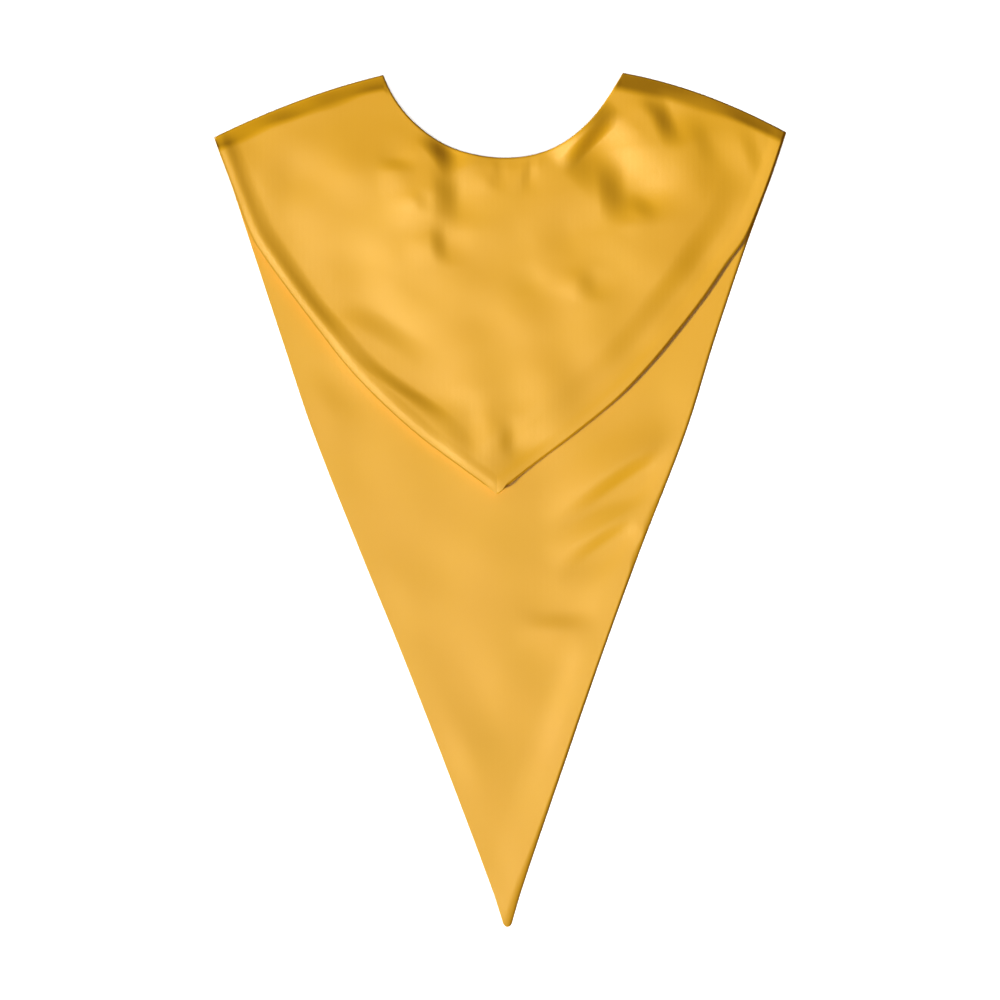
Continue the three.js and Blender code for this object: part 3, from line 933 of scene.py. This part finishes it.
class STOLE_OT_long_panel(bpy.types.Operator):
    """Cut the long panel and lay it on the surface."""

    bl_idname = "stole.long_panel"
    bl_label = "Long Panel"

    def execute(self, context):
        cut, drape = context.scene.stole_cut, context.scene.stole_drape
        x, y, sides = cut_out(LONG_GRID, LONG_HEMS, cut.neck_drop)
        tip = LONG_GRID.shoulder
        piece = panel_shell(
            "long_panel_satin",
            x,
            y,
            long_upper(cut, drape, sides),
            long_lower,
            seam_level=rim_sizes(x, tip, SEAM_MIDDLE, SEAM_MIDDLE, SEAM_AT_LONG_SHOULDER, SEAM_MIDDLE),
            upper_round=rim_sizes(x, tip, cut.rim_left, cut.rim_long, HIDDEN_ROUND, cut.rim_left),
            lower_round=rim_sizes(x, tip, cut.under, cut.under, cut.fold, cut.under),
            seam_dent=rim_sizes(x, tip, cut.dent, cut.dent, 0.0, cut.dent),
        )
        piece.data.materials.append(satin_of(context))
        lit_group("lit_cloth").objects.link(piece)
        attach(piece, "root")
        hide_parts("long_panel")
        return {"FINISHED"}


class STOLE_OT_short_panel(bpy.types.Operator):
    """Cut the short panel and lay it on the long one."""

    bl_idname = "stole.short_panel"
    bl_label = "Short Panel"

    def execute(self, context):
        cut, drape = context.scene.stole_cut, context.scene.stole_drape
        _, _, long_sides = cut_out(LONG_GRID, LONG_HEMS, cut.neck_drop)
        x, y, sides = cut_out(SHORT_GRID, SHORT_HEMS, 0.0)
        lower = short_lower(cut, drape, sides, long_upper(cut, drape, long_sides))
        tip = SHORT_GRID.shoulder
        piece = panel_shell(
            "short_panel_satin",
            x,
            y,
            short_upper(cut, sides, lower),
            lower,
            seam_level=rim_sizes(x, tip, SEAM_MIDDLE, SEAM_MIDDLE, SEAM_AT_SHORT_SHOULDER, SEAM_MIDDLE),
            upper_round=rim_sizes(x, tip, cut.rim_left, cut.rim_right, cut.fold, cut.rim_neck),
            lower_round=rim_sizes(x, tip, cut.under, cut.under, HIDDEN_ROUND, cut.under),
            seam_dent=rim_sizes(x, tip, cut.dent, cut.dent, 0.0, cut.dent),
        )
        piece.data.materials.append(satin_of(context))
        lit_group("lit_cloth").objects.link(piece)
        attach(piece, "root")
        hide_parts("short_panel")
        return {"FINISHED"}


class STOLE_OT_stage(bpy.types.Operator):
    """Set up the white surface, the studio lights and the camera overhead."""

    bl_idname = "stole.stage"
    bl_label = "Stage"

    def execute(self, context):
        stage = context.scene.stole_stage
        mesh = bpy.data.meshes.new("surface")
        r = PAPER_REACH
        mesh.from_pydata([(-r, -r, 0), (r, -r, 0), (r, r, 0), (-r, r, 0)], [], [(0, 1, 2, 3)])
        surface = bpy.data.objects.new("surface", mesh)
        mesh.materials.append(studio_paper(stage))
        context.scene.collection.objects.link(surface)
        # The photo is a cut-out, so its white neither mirrors in the satin's edges nor lights them.
        surface.visible_glossy = False
        surface.visible_diffuse = False
        lit_group("lit_paper").objects.link(surface)
        for lamp in LAMPS:
            self.add_light(context, lamp, getattr(stage, lamp.power))

        world = bpy.data.worlds.new("studio")
        world.use_nodes = True
        around = world.node_tree.nodes["Background"]
        around.inputs["Color"].default_value = from_hex(stage.around)
        around.inputs["Strength"].default_value = stage.world
        context.scene.world = world
        context.scene.view_settings.view_transform = "Standard"
        context.scene.view_settings.look = "None"

        camera = bpy.data.cameras.new("camera")
        camera.lens = stage.lens
        camera.sensor_fit = "HORIZONTAL"
        camera.sensor_width = SENSOR
        camera.clip_end = FAR_END
        eye = bpy.data.objects.new("camera", camera)
        eye.location = (0.0, 0.0, stage.view * stage.lens / SENSOR)
        context.scene.collection.objects.link(eye)
        context.scene.camera = eye
        return {"FINISHED"}

    def add_light(self, context, lamp, power):
        """Adds one light of the table, turned to the middle of the garment."""
        light = bpy.data.lights.new(lamp.name, lamp.kind)
        light.energy = power
        light.color = lamp.colour
        if lamp.kind == "SUN":
            light.angle = math.radians(lamp.spread)
        else:
            light.size = lamp.spread
        stand = bpy.data.objects.new(lamp.name, light)
        a, e = math.radians(lamp.azimuth), math.radians(lamp.elevation)
        way = Vector((math.cos(a) * math.cos(e), math.sin(a) * math.cos(e), math.sin(e)))
        stand.location = way * lamp.away
        stand.rotation_euler = way.to_track_quat("Z", "Y").to_euler()
        context.scene.collection.objects.link(stand)
        if lamp.lit:
            stand.light_linking.receiver_collection = lit_group(lamp.lit)


class STOLE_PT_sidebar(bpy.types.Panel):
    """Lists the pieces and their settings."""

    bl_idname = "STOLE_PT_sidebar"
    bl_label = "Graduation Stole"
    bl_space_type = "VIEW_3D"
    bl_region_type = "UI"
    bl_category = "Stole"

    def draw(self, context):
        for operator in OPERATORS:
            self.layout.operator(operator.bl_idname)
        for name in SETTINGS:
            group = getattr(context.scene, name)
            box = self.layout.box()
            for key in group.__annotations__:
                box.prop(group, key)


OPERATORS = (STOLE_OT_long_panel, STOLE_OT_short_panel, STOLE_OT_stage)
SETTINGS = {
    "stole_cut": StoleCut,
    "stole_drape": StoleDrape,
    "stole_finish": StoleFinish,
    "stole_stage": StoleStage,
}
CLASSES = (*SETTINGS.values(), *OPERATORS, STOLE_PT_sidebar)


def register():
    for cls in CLASSES:
        bpy.utils.register_class(cls)
    for name, group in SETTINGS.items():
        setattr(bpy.types.Scene, name, PointerProperty(type=group))


def unregister():
    for name in SETTINGS:
        delattr(bpy.types.Scene, name)
    for cls in reversed(CLASSES):
        bpy.utils.unregister_class(cls)


def main():
    """Makes every piece in order."""
    register()
    bpy.ops.stole.stage()
    bpy.ops.stole.long_panel()
    bpy.ops.stole.short_panel()


if __name__ == "__main__":
    main()
